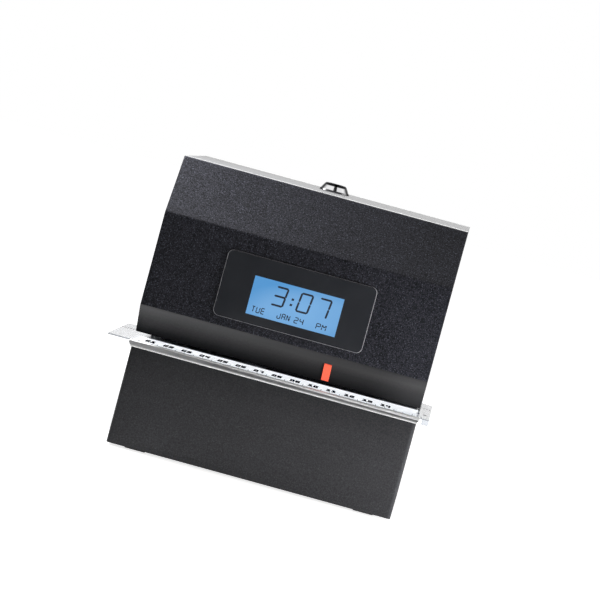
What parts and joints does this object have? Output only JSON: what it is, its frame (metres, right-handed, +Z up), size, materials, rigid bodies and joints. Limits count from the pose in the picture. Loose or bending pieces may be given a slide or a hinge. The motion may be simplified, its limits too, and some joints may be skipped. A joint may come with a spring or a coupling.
{
  "type": "date and time stamp machine",
  "caption": "Faceted steel desk-top time stamp with a lit paper throat, a sliding ruled guide, a blue display in a glossy window, a key lock on its lift-off cover and a print carriage inside.",
  "frame": {"origin": "centre of the whole object's footprint, on the desk that its rubber feet stand on", "axes": "+Z up; the display and the paper slot face -Y; +X to the right as seen from the front"},
  "size_m": [0.178, 0.172, 0.1652],
  "materials": {
    "case_coat": "fine-textured powder coat",
    "zinc_steel": "zinc-plated sheet",
    "ground_steel": "ground",
    "screw_steel": "dark zinc",
    "bright_bar": "satin",
    "table_steel": "satin",
    "clear_sheet": "clear, printed ruler",
    "rubber": "matt",
    "window": "polished",
    "display": "backlit blue",
    "mark": "orange",
    "lock_chrome": "polished",
    "brass": "turned",
    "board": "solder mask",
    "black_plastic": "moulded",
    "grey_plastic": "moulded",
    "white_plastic": "acetal",
    "head_metal": "anodised",
    "ribbon": "inked",
    "coil": "steel frame round a wound coil"
  },
  "bodies": {
    "base": {"base_shell": "case_coat", "bottom_plate": "case_coat", "rubber_feet": "rubber", "case_screws": "screw_steel", "side_frame_left": "zinc_steel", "side_frame_right": "zinc_steel", "mechanism_screws": "screw_steel", "rear_panel": "case_coat", "power_inlet": "black_plastic", "front_bar": "bright_bar", "paper_table": "table_steel", "guide_rivets": "ground_steel", "head_deck": "zinc_steel", "slot_lamp": "board", "guide_rods": "ground_steel", "motor_plate": "zinc_steel", "carriage_motor": "zinc_steel", "gear_pin": "ground_steel", "ribbon_cassette": "grey_plastic", "ink_ribbon": "ribbon", "lift_solenoid": "coil", "trigger_bracket": "zinc_steel", "trigger_switch": "black_plastic", "main_board": "board", "board_posts": "brass", "board_parts": "black_plastic", "setting_board": "board", "switch_bases": "black_plastic", "lock_keeper": "zinc_steel"},
    "cover": {"cover_wrap": "case_coat", "cover_side_left": "case_coat", "cover_side_right": "case_coat", "window_lens": "window", "lcd_glass": "display", "lcd_module": "black_plastic", "display_board": "board", "print_mark": "mark", "lock_body": "lock_chrome", "lock_nut": "brass"},
    "lock": {"lock_plug": "lock_chrome", "lock_cam": "zinc_steel"},
    "guide": {"paper_guide": "clear_sheet"},
    "carriage": {"carriage": "black_plastic", "carriage_bushes": "brass", "print_head": "head_metal", "drive_rack": "white_plastic", "head_screws": "screw_steel"},
    "drive_gear": {"drive_gear": "white_plastic"},
    "motor_pinion": {"motor_pinion": "brass"},
    "platen": {"platen_pad": "rubber", "platen_bar": "zinc_steel", "lift_plunger": "ground_steel", "platen_spring": "ground_steel"},
    "trigger": {"trigger_lever": "black_plastic"},
    "ribbon_knob": {"ribbon_knob": "white_plastic"},
    "button_1": {"set_button_1": "grey_plastic"},
    "button_2": {"set_button_2": "grey_plastic"},
    "button_3": {"set_button_3": "grey_plastic"},
    "button_4": {"set_button_4": "grey_plastic"}
  },
  "joints": [
    {"name": "cover_lift", "type": "slide", "parent": "base", "child": "cover", "axis": [0, 0, 1], "range_m": [0, 0.12]},
    {"name": "lock_turn", "type": "hinge", "parent": "cover", "child": "lock", "pos_m": [0.0037, 0.03585, 0.1605], "axis": [0, 0, -1], "range_deg": [0, 90]},
    {"name": "guide_slide", "type": "slide", "parent": "base", "child": "guide", "axis": [1, 0, 0], "range_m": [-0.002, 0.012]},
    {"name": "carriage_slide", "type": "slide", "parent": "base", "child": "carriage", "axis": [-1, 0, 0], "range_m": [0, 0.046]},
    {"name": "gear_spin", "type": "hinge", "parent": "base", "child": "drive_gear", "pos_m": [0.0037, 0.03285, 0.09645], "axis": [0, 1, 0], "range_deg": [0, 415]},
    {"name": "motor_spin", "type": "hinge", "parent": "base", "child": "motor_pinion", "pos_m": [-0.00985, 0.03485, 0.10428], "axis": [0, 1, 0], "range_deg": [-1380, 0]},
    {"name": "platen_rise", "type": "slide", "parent": "base", "child": "platen", "axis": [0, 0, 1], "range_m": [0, 0.0055], "stiffness_N_per_m": 200, "springref_m": -0.004, "deforming": ["platen_spring"]},
    {"name": "trigger_swing", "type": "hinge", "parent": "base", "child": "trigger", "pos_m": [-0.0363, 0.00485, 0.0686], "axis": [1, 0, 0], "range_deg": [0, 25], "stiffness_Nm_per_rad": 0.001, "springref_deg": -17.19},
    {"name": "knob_turn", "type": "hinge", "parent": "base", "child": "ribbon_knob", "pos_m": [-0.0403, -0.05215, 0.09], "axis": [0, 0, 1], "continuous": true},
    {"name": "button_press_1", "type": "slide", "parent": "base", "child": "button_1", "axis": [0, 0, -1], "range_m": [0, 0.0008], "stiffness_N_per_m": 500, "springref_m": -0.001},
    {"name": "button_press_2", "type": "slide", "parent": "base", "child": "button_2", "axis": [0, 0, -1], "range_m": [0, 0.0008], "stiffness_N_per_m": 500, "springref_m": -0.001},
    {"name": "button_press_3", "type": "slide", "parent": "base", "child": "button_3", "axis": [0, 0, -1], "range_m": [0, 0.0008], "stiffness_N_per_m": 500, "springref_m": -0.001},
    {"name": "button_press_4", "type": "slide", "parent": "base", "child": "button_4", "axis": [0, 0, -1], "range_m": [0, 0.0008], "stiffness_N_per_m": 500, "springref_m": -0.001}
  ],
  "couplings": [
    {"joint": "gear_spin", "follows": "carriage_slide", "rad_per_m": 156.25},
    {"joint": "motor_spin", "follows": "carriage_slide", "rad_per_m": -520.83}
  ]
}
